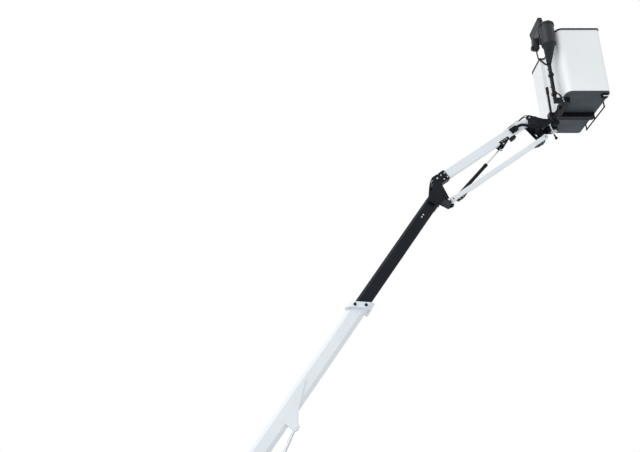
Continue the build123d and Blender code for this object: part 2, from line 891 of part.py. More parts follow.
def bucket_yoke():
    lx, lz = leveller
    low = head_gap + tip_plate + open_gap
    high = low + yoke_plate
    top = beam_low - open_gap
    bottom = jib_tip[1] - rotator_below
    arm = link_plate([(lx, lz, yoke_boss), (rotator_axis, lz, yoke_end)], low, high)
    back, front = rotator_axis - yoke_bridge, rotator_axis + yoke_end / 2
    body = mirrored(arm)
    body += block(back, front, -high, high, lz - yoke_end, lz + yoke_end)
    body += upright(rotator_radius, bottom, top, rotator_axis)
    for z in (bottom, top - rotator_flange_depth):
        body += upright(rotator_flange, z, z + rotator_flange_depth, rotator_axis)
    body += across(leveller_shaft, lx, lz, -high, high)
    return body - upright(king_post + run_fit, bottom, top, rotator_axis)


def lock_lever():
    lx, lz = leveller
    face = -(head_gap + tip_plate + open_gap + yoke_plate)
    (x1, z1), (x2, z2) = lever_from, lever_to
    ends = [(lx + x1, lz + z1, lever_radius), (lx + x2, lz + z2, lever_radius)]
    bar = link_plate(ends, face - 2 * lever_radius, face)
    bar += across(lever_pivot, lx + x1, lz + z1, face - 2 * lever_radius, face)
    return bar + across(lever_knob, lx + x2, lz + z2, face - 2 * lever_knob, face)


# Bucket
def bucket_form(inset, z_low, z_high):
    """The bucket's tapered outline with its recess, pulled in by an inset."""
    faces = []
    for z in (z_low, z_high):
        shrink = 2 * inset + bucket_draft * (bucket_top - z) / bucket_height
        plan = Rectangle(bucket_width - shrink, bucket_length - shrink)
        plan = fillet(plan.vertices().group_by(Axis.X)[0], bucket_boom_radius - inset)
        plan = fillet(plan.vertices().group_by(Axis.X)[-1], bucket_step_radius - inset)
        faces.append(Pos(bucket_mid, 0, z) * plan)
    half = recess_width / 2 + inset
    notch = block(bucket_near - recess_depth, bucket_near + recess_depth + inset, -half, half, z_low, z_high)
    return loft(faces) - fillet(notch.edges().filter_by(Axis.Z).group_by(Axis.X)[-1], recess_round)


def bucket_shell():
    top = bucket_top - rim_cap
    return bucket_form(0, bucket_floor_z, top) - bucket_form(bucket_wall, bucket_floor_z + bucket_floor, top)


def bucket_rim():
    low, cap = bucket_top - rim_height, bucket_top - rim_cap
    rim = bucket_form(-rim_lip, low, bucket_top) - bucket_form(bucket_wall + rim_lip, low, bucket_top)
    return rim - (bucket_form(0, low, cap) - bucket_form(bucket_wall, low, cap))


def bucket_base():
    return bucket_form(base_inset, beam_top, bucket_floor_z)


def king_post_piece():
    low = jib_tip[1] - rotator_below - king_cap_depth - side_gap
    post = upright(king_post, low, beam_low, rotator_axis)
    return post + upright(king_cap, low, low + king_cap_depth, rotator_axis)


def cross_beam():
    half = cross_width / 2
    return block(rotator_axis - cross_lead, bucket_far - cross_short, -half, half, beam_low, beam_top)


def side_beam():
    near = bucket_near + beam_inset
    half, end = cross_width / 2, bucket_length / 2 - beam_ends
    beams = []
    for y_low, y_high in ((-end, -half), (half, end)):
        beams.append(block(near, near + beam_width, y_low, y_high, beam_low, beam_top))
    return group(beams)


def mount_post():
    high = bucket_floor_z + post_top
    post = upright(post_radius, beam_top, high, rotator_axis)
    return post + upright(post_head, high - post_head_length, high, rotator_axis)


def step_rail():
    x = bucket_far - step_inset
    z = bucket_floor_z - step_drop
    half, leg = step_length / 2, step_leg / 2
    rail = across(step_radius, x, z, -half, half)
    for y in (-half + step_leg, half - step_leg):
        rail += block(x - leg, x + leg, y - leg, y + leg, z, beam_top)
    return rail + block(bucket_far - cross_short, x, -leg, leg, z - leg, z + 2 * step_leg)


def rest_foot():
    x, y = bucket_far - foot_inset, -bucket_length / 2 + foot_inset
    body = block(x - foot_length, x, y, y + foot_width, beam_top - foot_depth, beam_top)
    return fillet(body.edges().filter_by(Axis.Y).group_by(Axis.Z)[0], foot_depth / 4)


# Console
def column_bar(x_low, x_high, half, z_low, z_high):
    """A bar of the console's column, of a half width across the boom."""
    return block(x_low, x_high, console_y - half, console_y + half, z_low, z_high)


def console_column():
    half = column_size / 2
    post = column_bar(console_at - half, console_at + half, half, beam_low, console_low)
    post += column_bar(console_at, bucket_near + beam_inset, half, beam_low, beam_top)
    for share in clamp_rises:
        z = bucket_floor_z + share * bucket_height
        post += column_bar(console_at - clamp_half, console_at + clamp_half, clamp_half, z, z + clamp_height)
    return post


def console_housing():
    profile = make_face(Polyline(
        (0, 0),
        (pot_waist, 0),
        (pot_radius, pot_shoulder),
        (pot_mouth, pot_height - pot_rim_height),
        (pot_rim, pot_height - pot_rim_height),
        (pot_rim, pot_height),
        (pot_well, pot_height),
        (pot_well, pot_height - pot_well_depth),
        (0, pot_height - pot_well_depth),
        close=True,
    ))
    foot = Pos(console_at, console_y, console_low)
    seat = foot * Pos(pot_toward, pot_aside, pot_rise)
    body = loft([foot * Circle(pot_neck), seat * Circle(pot_waist)], ruled=True)
    body += seat * revolve(Plane.XZ * profile, Axis.Z)
    low, high = console_low + screen_rise, console_low + screen_rise + screen_height
    top = console_at - screen_reach
    outline = [
        (top + screen_lean, low),
        (top + screen_lean + screen_thickness, low),
        (top + screen_thickness, high),
        (top, high),
    ]
    screen = side_plate(outline, console_y - screen_length / 2, console_y + screen_length / 2)
    body += fillet(screen.edges().filter_by(Axis.Y), screen_round)
    base = console_low + box_rise
    box = column_bar(top + screen_lean, console_at, box_half, base, base + box_height)
    return body + fillet(box.edges().filter_by(Axis.Y).group_by(Axis.X)[0], screen_round)


def console_guard():
    route = [guard_top, guard_out, guard_low, guard_foot, guard_end]
    path = FilletPolyline(*[(console_at + x, console_low + z) for x, z in route], radius=guard_elbow)
    strap = trace(path, guard_thickness)
    hoop = standing(strap, console_y - guard_width / 2, console_y + guard_width / 2)
    coped = hoop - console_housing() - console_column()
    return coped.solids().sort_by(SortBy.VOLUME)[-1]


PIECES = {
    "pedestal_column": pedestal_column,
    "slew_drive": slew_drive,
    "slew_motor": slew_motor,
    "slew_race": slew_race_ring,
    "turret_frame": turret_frame,
    "boom_pivot_pin": lambda: turret_pin(pivot_pin, (pivot_x, pivot_z)),
    "lift_base_pin": lambda: turret_pin(lift_base_pin, lift_base),
    "valve_cover": valve_cover,
    "lift_barrel": lift_barrel,
    "lift_rod": lift_rod,
    "outer_boom_tube": outer_boom_tube,
    "boom_root": boom_root,
    "boom_rear_cap": boom_rear_cap,
    "lift_bracket": lift_bracket,
    "boom_collar": boom_collar,
    "wear_pad_caps": pad_caps,
    "collar_bracket": collar_bracket,
    "front_wear_pads": front_pads,
    "inner_boom_tube": inner_boom_tube,
    "rear_wear_pads": rear_pads,
    "elbow_head": elbow_head,
    "jib_pivot_pin": elbow_pin,
    "level_rod_pin": level_rod_pin,
    "jib_root_socket": jib_root,
    "jib_tube": jib_tube,
    "jib_tip_lug": jib_tip_lug,
    "jib_ram_lug": jib_ram_lug,
    "hose_sheath": hose_sheath,
    "jib_clamp": jib_clamp,
    "level_rod": level_rod,
    "level_rod_shoes": level_shoes,
    "jib_barrel": jib_barrel,
    "jib_rod": jib_rod,
    "tip_bracket": tip_bracket,
    "jib_tip_pin": jib_tip_pin,
    "level_tip_pin": level_tip_pin,
    "bucket_yoke": bucket_yoke,
    "lock_lever": lock_lever,
    "king_post": king_post_piece,
    "cross_beam": cross_beam,
    "side_beam": side_beam,
    "mount_post": mount_post,
    "bucket_base": bucket_base,
    "bucket_shell": bucket_shell,
    "bucket_rim": bucket_rim,
    "step_rail": step_rail,
    "rest_foot": rest_foot,
    "console_column": console_column,
    "console_housing": console_housing,
    "console_guard": console_guard,
}

os.makedirs("parts", exist_ok=True)
for name, make in PIECES.items():
    export_step(make(), f"parts/{name}.step")
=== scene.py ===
import json
from math import cos, pi, radians, sin

import bmesh
import bpy
from mathutils import Matrix, Vector


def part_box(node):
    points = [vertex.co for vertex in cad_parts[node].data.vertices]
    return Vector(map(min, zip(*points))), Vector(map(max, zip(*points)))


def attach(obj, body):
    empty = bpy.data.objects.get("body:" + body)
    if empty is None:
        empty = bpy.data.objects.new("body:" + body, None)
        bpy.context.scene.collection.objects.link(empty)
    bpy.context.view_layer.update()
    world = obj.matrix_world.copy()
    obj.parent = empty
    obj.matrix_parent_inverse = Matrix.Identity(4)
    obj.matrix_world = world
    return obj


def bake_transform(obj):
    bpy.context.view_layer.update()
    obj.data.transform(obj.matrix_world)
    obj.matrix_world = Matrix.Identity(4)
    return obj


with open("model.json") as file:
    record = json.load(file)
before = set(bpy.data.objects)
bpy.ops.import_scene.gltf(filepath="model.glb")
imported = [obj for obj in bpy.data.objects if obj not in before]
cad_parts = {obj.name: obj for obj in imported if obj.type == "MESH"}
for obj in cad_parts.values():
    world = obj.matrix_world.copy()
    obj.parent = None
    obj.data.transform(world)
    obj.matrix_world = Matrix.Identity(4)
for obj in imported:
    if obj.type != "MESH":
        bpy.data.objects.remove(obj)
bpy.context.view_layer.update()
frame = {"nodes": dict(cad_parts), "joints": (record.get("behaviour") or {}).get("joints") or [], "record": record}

MM = 0.001
up, down = (0, 0, 1), (0, 0, -1)
fore, back = (1, 0, 0), (-1, 0, 0)
near, far = (0, -1, 0), (0, 1, 0)
both_sides = (-1, 1)

# Faces that meet at more than this are shaded apart
SHARP_ANGLE = radians(35)

# Pins and slide directions of the lift, from its own joints
joints = {joint["name"]: joint for joint in frame["joints"]}
pin = {name: Vector(joint["pos_m"]) for name, joint in joints.items() if "pos_m" in joint}
boom_pin, jib_pin, jib_tip = pin["elevation"], pin["jib_raise"], pin["tip_bracket_swing"]
rod_pin, leveller = pin["level_rod_swing"], pin["bucket_level"]


def axes(origin, along):
    """A beam's own axes at rest: x along it, y across the lift, z up from it."""
    x = Vector(along).normalized()
    y = Vector((0, 1, 0))
    return Matrix.Translation(origin) @ Matrix((x, y, x.cross(y))).transposed().to_4x4()


row = Matrix.Identity(4)
boom = axes(boom_pin, joints["extension"]["axis"])
jib = axes(jib_pin, jib_tip - jib_pin)
level_rod = axes(rod_pin, jib_tip - jib_pin)
lift = axes(pin["lift_cylinder_swing"], joints["lift_rod_stroke"]["axis"])
tip = axes(leveller, fore)


def extent(node):
    """A CAD node's lowest and highest corners, in millimetres."""
    low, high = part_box(node)
    return low / MM, high / MM


# Colours and shader nodes

def linear(code):
    """An sRGB hex colour as the linear colour that shaders take."""
    parts = [int(code[i:i + 2], 16) / 255 for i in (1, 3, 5)]
    return (*[c / 12.92 if c <= 0.04045 else ((c + 0.055) / 1.055) ** 2.4 for c in parts], 1.0)


def add(tree, kind, sockets, **settings):
    """A node with its settings, and each of its sockets set to a value or linked from another node."""
    node = tree.nodes.new(kind)
    for name, value in settings.items():
        setattr(node, name, value)
    for name, value in sockets.items():
        if isinstance(value, bpy.types.NodeSocket):
            tree.links.new(value, node.inputs[name])
        else:
            node.inputs[name].default_value = value
    return node


def finish_tree(name):
    """A new material's node tree with a surface shader, its output and object coordinates in metres."""
    material = bpy.data.materials.new(name)
    material.use_nodes = True
    tree = material.node_tree
    tree.nodes.clear()
    place = add(tree, "ShaderNodeTexCoord", {}).outputs["Object"]
    shader = add(tree, "ShaderNodeBsdfPrincipled", {})
    add(tree, "ShaderNodeOutputMaterial", {"Surface": shader.outputs["BSDF"]})
    return material, tree, shader, place


def per_metre(millimetres):
    """A noise scale that gives features of a real size."""
    return 1 / (millimetres * MM)


def surface(shader, **values):
    """Plain numbers and colours on the surface shader's own sockets."""
    for name, value in values.items():
        shader.inputs[name.replace("_", " ")].default_value = value


def relief(tree, shader, place, size, height):
    """A fine uneven skin: features of a size in millimetres, this many millimetres high."""
    noise = add(tree, "ShaderNodeTexNoise", {"Vector": place, "Scale": per_metre(size), "Detail": 2.0})
    bump = add(
        tree,
        "ShaderNodeBump",
        {"Height": noise.outputs["Fac"], "Distance": height * MM, "Strength": 1.0},
    )
    tree.links.new(bump.outputs["Normal"], shader.inputs["Normal"])


def mottle(tree, shader, place, size, darker, lighter):
    """A faint drift between two close colours in patches of a size in millimetres."""
    noise = add(tree, "ShaderNodeTexNoise", {"Vector": place, "Scale": per_metre(size), "Detail": 4.0})
    ramp = add(tree, "ShaderNodeValToRGB", {"Fac": noise.outputs["Fac"]})
    dark_end, light_end = ramp.color_ramp.elements
    dark_end.position = 0.35
    dark_end.color = linear(darker)
    light_end.position = 0.65
    light_end.color = linear(lighter)
    tree.links.new(ramp.outputs["Color"], shader.inputs["Base Color"])


# Finishes

def white_enamel():
    """Two-pack gloss enamel sprayed on steel: a hard white shine with a trace of orange peel."""
    material, tree, shader, place = finish_tree("white two-pack enamel")
    surface(shader, Roughness=0.28, IOR=1.5, Coat_Weight=0.35, Coat_Roughness=0.08)
    mottle(tree, shader, place, 900, "#E6EBEF", "#EEF2F5")
    # Real orange peel is a few millimetres wide, too fine to show, so it is drawn coarser
    relief(tree, shader, place, 60, 0.06)
    return material


def black_enamel():
    """Satin blue-black chassis enamel: dark, with a soft broad shine."""
    material, tree, shader, place = finish_tree("satin black chassis enamel")
    surface(shader, Roughness=0.42, IOR=1.5, Specular_IOR_Level=0.16)
    mottle(tree, shader, place, 500, "#10141A", "#171C23")
    relief(tree, shader, place, 6, 0.05)
    return material


def grey_enamel():
    """Satin dark grey machinery enamel on the pedestal's castings and plates."""
    material, tree, shader, place = finish_tree("dark grey machinery enamel")
    surface(shader, Roughness=0.45, IOR=1.5, Specular_IOR_Level=0.3)
    mottle(tree, shader, place, 400, "#3B4046", "#454B52")
    relief(tree, shader, place, 6, 0.06)
    return material


def zinc_steel():
    """Bright zinc-plated steel: pale grey metal with a fine grain."""
    material, tree, shader, place = finish_tree("bright zinc plated steel")
    surface(shader, Metallic=1.0, Roughness=0.38)
    mottle(tree, shader, place, 30, "#C3C8CC", "#DADDE0")
    relief(tree, shader, place, 3, 0.02)
    return material


def hard_chrome():
    """Ground and polished hard chrome on the piston rods: a clear bright mirror."""
    material, tree, shader, place = finish_tree("ground hard chrome")
    surface(shader, Metallic=1.0, Roughness=0.1, Base_Color=linear("#D6DADD"))
    relief(tree, shader, place, 2, 0.004)
    return material


def slide_nylon():
    """Cast black nylon: matt, with a waxy edge to its shine."""
    material, tree, shader, place = finish_tree("cast black nylon")
    surface(shader, Roughness=0.5, IOR=1.53, Specular_IOR_Level=0.2)
    mottle(tree, shader, place, 60, "#121315", "#191B1D")
    return material


def white_gelcoat():
    """Polyester gelcoat out of a mould: smooth half-gloss white with the faint wave of the laminate."""
    material, tree, shader, place = finish_tree("white polyester gelcoat")
    surface(shader, Roughness=0.42, IOR=1.52, Specular_IOR_Level=0.35)
    mottle(tree, shader, place, 1200, "#F0F1F1", "#F6F7F7")
    relief(tree, shader, place, 140, 0.25)
    return material


def slate_laminate():
    """Pigmented glass-fibre laminate under the floor: dark slate with a pebbled, half-matt skin."""
    material, tree, shader, place = finish_tree("slate glass fibre laminate")
    surface(shader, Roughness=0.55, IOR=1.52, Specular_IOR_Level=0.3)
    mottle(tree, shader, place, 220, "#3A4047", "#454B52")
    relief(tree, shader, place, 12, 0.35)
    return material


def black_rubber():
    """Extruded black rubber: very dark and dull."""
    material, tree, shader, place = finish_tree("extruded black rubber")
    surface(shader, Roughness=0.75, IOR=1.52, Specular_IOR_Level=0.15)
    mottle(tree, shader, place, 80, "#0F1113", "#17191B")
    relief(tree, shader, place, 4, 0.08)
    return material


def dark_abs():
    """Moulded dark grey ABS with the mould's leather grain."""
    material, tree, shader, place = finish_tree("grained dark ABS")
    surface(shader, Roughness=0.4, IOR=1.54, Specular_IOR_Level=0.3)
    mottle(tree, shader, place, 300, "#171B20", "#20252B")
    relief(tree, shader, place, 3, 0.08)
    return material


def red_plastic():
    """Glossy red moulded plastic of a stop button."""
    material, tree, shader, place = finish_tree("red moulded plastic")
    surface(shader, Roughness=0.3, IOR=1.5, Base_Color=linear("#B3161B"))
    relief(tree, shader, place, 8, 0.02)
    return material


def hose_rubber():
    """Wrapped hydraulic hose cover: matt black with the cloth wrap's fine unevenness."""
    material, tree, shader, place = finish_tree("wrapped hydraulic hose cover")
    surface(shader, Roughness=0.62, IOR=1.52, Specular_IOR_Level=0.2)
    mottle(tree, shader, place, 40, "#101215", "#1A1D21")
    relief(tree, shader, place, 5, 0.15)
    return material


FINISH = {
    "white_paint": white_enamel(),
    "black_paint": black_enamel(),
    "grey_paint": grey_enamel(),
    "bare_steel": zinc_steel(),
    "chrome_rod": hard_chrome(),
    "black_nylon": slide_nylon(),
    "white_gelcoat": white_gelcoat(),
    "slate_grp": slate_laminate(),
    "black_rubber": black_rubber(),
    "dark_moulding": dark_abs(),
}
stop_red = red_plastic()
hose_cover = hose_rubber()

# Pieces that show another finish than their slot's: enamelled with their tubes, and a plated lever
OTHER_FINISH = {
    "jib_tip_lug": "white_paint",
    "level_rod_pin": "white_paint",
    "level_tip_pin": "white_paint",
    "lock_lever": "bare_steel",
}
for part in frame["record"]["subparts"]:
    name = part["node"]
    node = frame["nodes"][name]
    node.data.materials.clear()
    node.data.materials.append(FINISH[OTHER_FINISH.get(name, part["material_slot"])])


# Plain shapes, each shaped in its own bmesh and then set in place, all sizes in millimetres

def settle(body, shape, place):
    """Sets a finished shape in place among a piece's other shapes."""
    shape.transform(place)
    mesh = bpy.data.meshes.new("shape")
    shape.to_mesh(mesh)
    shape.free()
    body.from_mesh(mesh)
    bpy.data.meshes.remove(mesh)


def seat(base, point, out=up):
    """A place on a beam's axes, its z turned to point out of the surface there."""
    turn = Vector(out).to_track_quat("Z", "Y").to_matrix().to_4x4()
    return base @ Matrix.Translation(Vector(point) * MM) @ turn


def raised(place, height):
    """The same place, further out of the surface."""
    return place @ Matrix.Translation((0, 0, height * MM))


def rounded(shape, edges, size):
    """Rounds a shape's edges."""
    bmesh.ops.bevel(
        shape, geom=list(edges), offset=size * MM, affect="EDGES", segments=2, profile=0.5, material=-1
    )


def disc(body, place, radius, height, sides=28, edge=0.0, top=None):
    """A round or many-sided boss standing on a place, with its upper edge rounded."""
    shape = bmesh.new()
    bmesh.ops.create_cone(
        shape,
        cap_ends=True,
        segments=sides,
        radius1=radius * MM,
        radius2=(radius if top is None else top) * MM,
        depth=height * MM,
        matrix=Matrix.Translation((0, 0, height * MM / 2)),
    )
    if edge:
        nearly_top = height * MM * 0.99
        rounded(shape, [e for e in shape.edges if all(v.co.z > nearly_top for v in e.verts)], edge)
    settle(body, shape, place)


def slab(body, place, size, edge=2.0):
    """A rounded block standing on a place, by its length, width and height."""
    shape = bmesh.new()
    bmesh.ops.create_cube(shape, size=1.0)
    bmesh.ops.translate(shape, verts=shape.verts, vec=(0, 0, 0.5))
    bmesh.ops.scale(shape, verts=shape.verts, vec=Vector(size) * MM)
    rounded(shape, shape.edges, edge)
    settle(body, shape, place)


# A bolt's sizes as shares of the width across its flats
WASHER_RADIUS, WASHER_THICKNESS = 0.62, 0.12
HEAD_RADIUS, HEAD_HEIGHT, HEAD_EDGE = 0.577, 0.4, 0.04


def hex_bolt(body, place, flats, washer=True):
    """A hexagon bolt's head on its washer, by the width across its flats."""
    head = place
    if washer:
        disc(body, place, flats * WASHER_RADIUS, flats * WASHER_THICKNESS, sides=24)
        head = raised(place, flats * WASHER_THICKNESS)
    disc(body, head, flats * HEAD_RADIUS, flats * HEAD_HEIGHT, sides=6, edge=flats * HEAD_EDGE)


def bolts(body, base, points, out, flats, washer=True):
    """Bolts of one size on one face."""
    for point in points:
        hex_bolt(body, seat(base, point, out), flats, washer)


def ring(count, radius):
    """Points evenly round a circle, as pairs."""
    return [(radius * cos(2 * pi * i / count), radius * sin(2 * pi * i / count)) for i in range(count)]


# A hose fitting's nut, collar and crimped sleeve: radius and height in bores, and number of sides
FITTING_STEPS = ((1.5, 1.0, 6), (1.0, 0.5, 24), (1.25, 2.0, 24))


def fitting(body, place, bore):
    """A hose fitting standing out of a port."""
    rise = 0.0
    for radius, height, sides in FITTING_STEPS:
        disc(body, raised(place, rise * bore), radius * bore, height * bore, sides=sides, edge=0.6)
        rise += height


def clamp(body, base, point, size):
    """A two-part hose clamp on a near side, with its two bolt heads."""
    clamp_flats, bolt_share = 10, 0.42
    slab(body, seat(base, point, near), size, edge=3)
    height, depth = size[1:]
    x, y, z = point
    places = [(x, y - depth, z + side * height * bolt_share) for side in both_sides]
    bolts(body, base, places, near, clamp_flats)


def piece(name, body, finish):
    """A piece's mesh as an object at the origin, with its finish and its flat faces shaded apart."""
    mesh = bpy.data.meshes.new(name)
    bmesh.ops.recalc_face_normals(body, faces=body.faces)
    body.to_mesh(mesh)
    body.free()
    mesh.shade_smooth()
    mesh.set_sharp_from_angle(angle=SHARP_ANGLE)
    thing = bpy.data.objects.new(name, mesh)
    bpy.context.scene.collection.objects.link(thing)
    mesh.materials.append(finish)
    return thing


def zinc(name, body):
    """A piece of plated steel."""
    return piece(name, body, FINISH["bare_steel"])


def black(name, body):
    """A piece in black enamel."""
    return piece(name, body, FINISH["black_paint"])


def rubber(name, body):
    """A piece of black rubber."""
    return piece(name, body, FINISH["black_rubber"])


def hose(name, points, diameter, finish=hose_cover):
    """A hose or pipe on one smooth line through a few control points, as a mesh."""
    line = bpy.data.curves.new(name, "CURVE")
    line.dimensions = "3D"
    line.bevel_depth = diameter * MM / 2
    line.bevel_resolution = 3
    line.resolution_u = 8
    line.use_fill_caps = True
    run = line.splines.new("NURBS")
    run.points.add(len(points) - 1)
    for control, point in zip(run.points, points):
        control.co = (*point, 1.0)
    run.order_u = 4
    run.use_endpoint_u = True
    drawn = bpy.data.objects.new(name, line)
    bpy.context.scene.collection.objects.link(drawn)
    depsgraph = bpy.context.evaluated_depsgraph_get()
    mesh = bpy.data.meshes.new_from_object(drawn.evaluated_get(depsgraph))
    bpy.data.objects.remove(drawn)
    bpy.data.curves.remove(line)
    mesh.name = name
    mesh.materials.clear()
    mesh.materials.append(finish)
    for face in mesh.polygons:
        face.use_smooth = True
    thing = bpy.data.objects.new(name, mesh)
    bpy.context.scene.collection.objects.link(thing)
    return thing


def on(base, *points):
    """Points in millimetres on a beam's axes, in the row frame."""
    return [base @ (Vector(point) * MM) for point in points]


# Pedestal: its foot and head bolts, and the screws of the worm's end cover
foot_pattern = frame["record"]["mounts"][0]["dims"]
column_top = extent("pedestal_column")[1].z
motor_low, motor_high = extent("slew_motor")
worm_y = 327.0


def pedestal_bolts():
    """Bolts on top of the foot's flange, under the head's flange and on the worm's cover."""
    flange, foot_flats = 25.0, 30
    head_circle, head_count, head_flats = 255.0, 16, 24
    worm_rise, cover_circle, cover_count, cover_flats = 34.0, 44.0, 6, 13
    body = bmesh.new()
    foot_ring = ring(int(foot_pattern["count"]), foot_pattern["pcd_mm"] / 2)
    bolts(body, row, [(x, y, flange) for x, y in foot_ring], up, foot_flats)
    head_ring = ring(head_count, head_circle)
    bolts(body, row, [(x, y, column_top - flange) for x, y in head_ring], down, head_flats)
    worm_z = column_top + worm_rise
    cover_ring = ring(cover_count, cover_circle)
    cover_places = [(-motor_low.x, worm_y + y, worm_z + z) for y, z in cover_ring]
    bolts(body, row, cover_places, back, cover_flats, washer=False)
    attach(zinc("pedestal_bolts", body), "pedestal")


# Turret: deck bolts, the valve cover's screws, and the bolt in the middle of each pin's cap
deck_thickness, web_face = 20.0, -243.0
deck = extent("turret_frame")[0].z + deck_thickness
cover_low, cover_high = extent("valve_cover")


def turret_bolts():
    """Bolts through the deck onto the slew ring, cover screws, and the pins' cap bolts."""
    deck_circle, deck_count, deck_flats = 210.0, 14, 24
    screw_in, screw_side, screw_flats, cap_flats = 60.0, 70.0, 13, 24
    body = bmesh.new()
    # The ring's foremost place is left free
    deck_ring = ring(deck_count, deck_circle)[1:]
    bolts(body, row, [(x, y, deck) for x, y in deck_ring], up, deck_flats)
    screw_heights = (cover_low.z + screw_in, cover_high.z - screw_in)
    for side in both_sides:
        screws = [(cover_low.x, side * screw_side, z) for z in screw_heights]
        bolts(body, row, screws, back, screw_flats)
        for name in ("boom_pivot_pin", "lift_base_pin"):
            low, high = extent(name)
            middle = (low + high) / 2
            bolts(body, row, [(middle.x, high.y * side, middle.z)], (0, side, 0), cap_flats)
    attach(zinc("turret_bolts", body), "turret")


# Oil joint in the middle of the slew ring, and the hoses that it feeds
joint_top = 470.0
feed_y, feed_low, feed_high, feed_bore = (-30, -10, 10, 30), 542.0, 572.0, 9


def oil_joint_body():
    """A fixed body on three arms across the column's bore."""
    column_bore, foot, radius = 178.0, 300.0, 56.0
    arm_count, arm_z, arm_length, arm_width, sunk = 3, 380, 44, 16, 6
    port_circle, port_bore = 26, 14
    body = bmesh.new()
    disc(body, seat(row, (0, 0, foot)), radius, joint_top - foot, edge=4)
    for i in range(arm_count):
        arm = Matrix.Rotation(2 * pi * i / arm_count, 4, "Z")
        arm_size = (arm_length, arm_width, column_bore - radius + sunk)
        slab(body, seat(arm, (radius - sunk, 0, arm_z), fore), arm_size)
        fitting(body, seat(arm, (port_circle, 0, foot), down), port_bore)
    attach(black("oil_joint_body", body), "pedestal")


def oil_joint_stem():
    """A stem that turns with the turret, held by a bar across the deck."""
    stem_radius, stem_top, port_x = 40, 558.0, -26
    bar_length, bar_width, bar_thick = 300, 60, 12
    body = bmesh.new()
    disc(body, seat(row, (0, 0, joint_top)), stem_radius, stem_top - joint_top, edge=3)
    bar_end = (0, -bar_length / 2, deck + bar_thick / 2)
    slab(body, seat(row, bar_end, far), (bar_width, bar_thick, bar_length))
    for y in feed_y:
        fitting(body, seat(row, (port_x, y, feed_low), back), feed_bore)
        fitting(body, seat(row, (web_face, y * 2, feed_high), fore), feed_bore)
    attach(zinc("oil_joint_stem", body), "turret")


def feed_hoses():
    """From the stem to the turret's cross web."""
    diameter = 14
    for i, y in enumerate(feed_y):
        route = on(
            row,
            (-52, y, feed_low),
            (-90, y, feed_low),
            (-135, y * 1.4, feed_low + 4),
            (-170, y * 2, feed_high),
            (-215, y * 2, feed_high),
        )
        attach(hose(f"feed_hose_{i + 1}", route, diameter), "turret")


def slew_motor_hose():
    """From the motor's port to a gland on the column."""
    port_x, fitting_bore, diameter = 296.0, 9, 12
    gland_turn, gland_z, column_radius = radians(46.7), 250.0, 190.0
    out = Vector((cos(gland_turn), sin(gland_turn), 0))
    gland = out * column_radius + Vector((0, 0, gland_z))
    body = bmesh.new()
    fitting(body, seat(row, (port_x, worm_y, motor_high.z)), fitting_bore)
    fitting(body, seat(row, gland, out), fitting_bore)
    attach(zinc("slew_motor_fittings", body), "pedestal")
    route = on(
        row,
        (port_x, worm_y, 520),
        (port_x, worm_y, 562),
        (308, 340, 592),
        (335, 368, 596),
        (356, 390, 566),
        (362, 396, 490),
        (352, 386, 400),
        (318, 350, 310),
        gland + out * 120 + Vector((0, 0, 8)),
        gland + out * 70,
        gland + out * 20,
    )
    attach(hose("slew_motor_hose", route, diameter), "pedestal")


# Lift cylinder: its valve block, the steel pipe to its rod end, and its two hoses from the turret
barrel_side, block_x = -50.0, 140.0
lift_port_x, lift_port_y, lift_bore = block_x - 20, (-62, -84), 8


def lift_valve_block():
    """A valve block on the barrel, and a steel pipe in two clips to the rod end's port."""
    pipe_y, rod_port_x, pipe_diameter = -72.0, 1030.0, 12
    block_size = (120, 60, 46)
    plug_radius, plug_height, plug_shift, port_sunk = 14, 10, 20, 2
    boss_radius, boss_height, clip_x, clip_size = 17, 34, (430, 780), (30, 34, 34)
    body = bmesh.new()
    slab(body, seat(lift, (block_x, barrel_side, 0), near), block_size, edge=4)
    plug = seat(lift, (block_x + plug_shift, barrel_side - block_size[2], 0), near)
    disc(body, plug, plug_radius, plug_height, sides=6, edge=1)
    for y in lift_port_y:
        fitting(body, seat(lift, (lift_port_x, y, block_size[1] / 2 - port_sunk)), lift_bore)
    disc(body, seat(lift, (rod_port_x, barrel_side, 0), near), boss_radius, boss_height, edge=3)
    for x in clip_x:
        slab(body, seat(lift, (x, barrel_side, 0), near), clip_size)
    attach(zinc("lift_valve_block", body), "lift_cylinder")
    pipe = on(
        lift,
        (block_x + 40, pipe_y, 0),
        (block_x + 160, pipe_y, 0),
        (600, pipe_y, 0),
        (rod_port_x - 120, pipe_y, 0),
        (rod_port_x, pipe_y, 0),
    )
    lift_pipe = hose("lift_pipe", pipe, pipe_diameter, FINISH["bare_steel"])
    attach(lift_pipe, "lift_cylinder")


def lift_hoses():
    """From a bulkhead on the turret's cross web to the valve block."""
    bulkhead_z, diameter = 868.0, 14
    body = bmesh.new()
    for y in lift_port_y:
        fitting(body, seat(row, (web_face, y, bulkhead_z), fore), lift_bore)
    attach(zinc("lift_bulkhead", body), "turret")
    for i, y in enumerate(lift_port_y):
        route = [
            *on(row, (web_face + 22, y, bulkhead_z), (web_face + 70, y, bulkhead_z + 4)),
            *on(row, (-125, y, bulkhead_z + 2)),
            *on(lift, (lift_port_x, y, 118), (lift_port_x, y, 74), (lift_port_x, y, 50)),
        ]
        lift_hose = hose(f"lift_hose_{i + 1}", route, diameter)
        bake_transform(lift_hose)


# Boom's foot: the rear cap's bolts, and the hoses that go into it behind the pivot

def rear_cap_bolts():
    """Three pairs of bolts in the cap's back."""
    cap_x, cap_flats = 102.0, 16
    half_spread_and_height = ((75, -55), (78, 20), (60, 92))
    body = bmesh.new()
    places = [(cap_x, side * y, z) for y, z in half_spread_and_height for side in both_sides]
    bolts(body, boom, places, back, cap_flats)
    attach(zinc("rear_cap_bolts", body), "outer_boom")


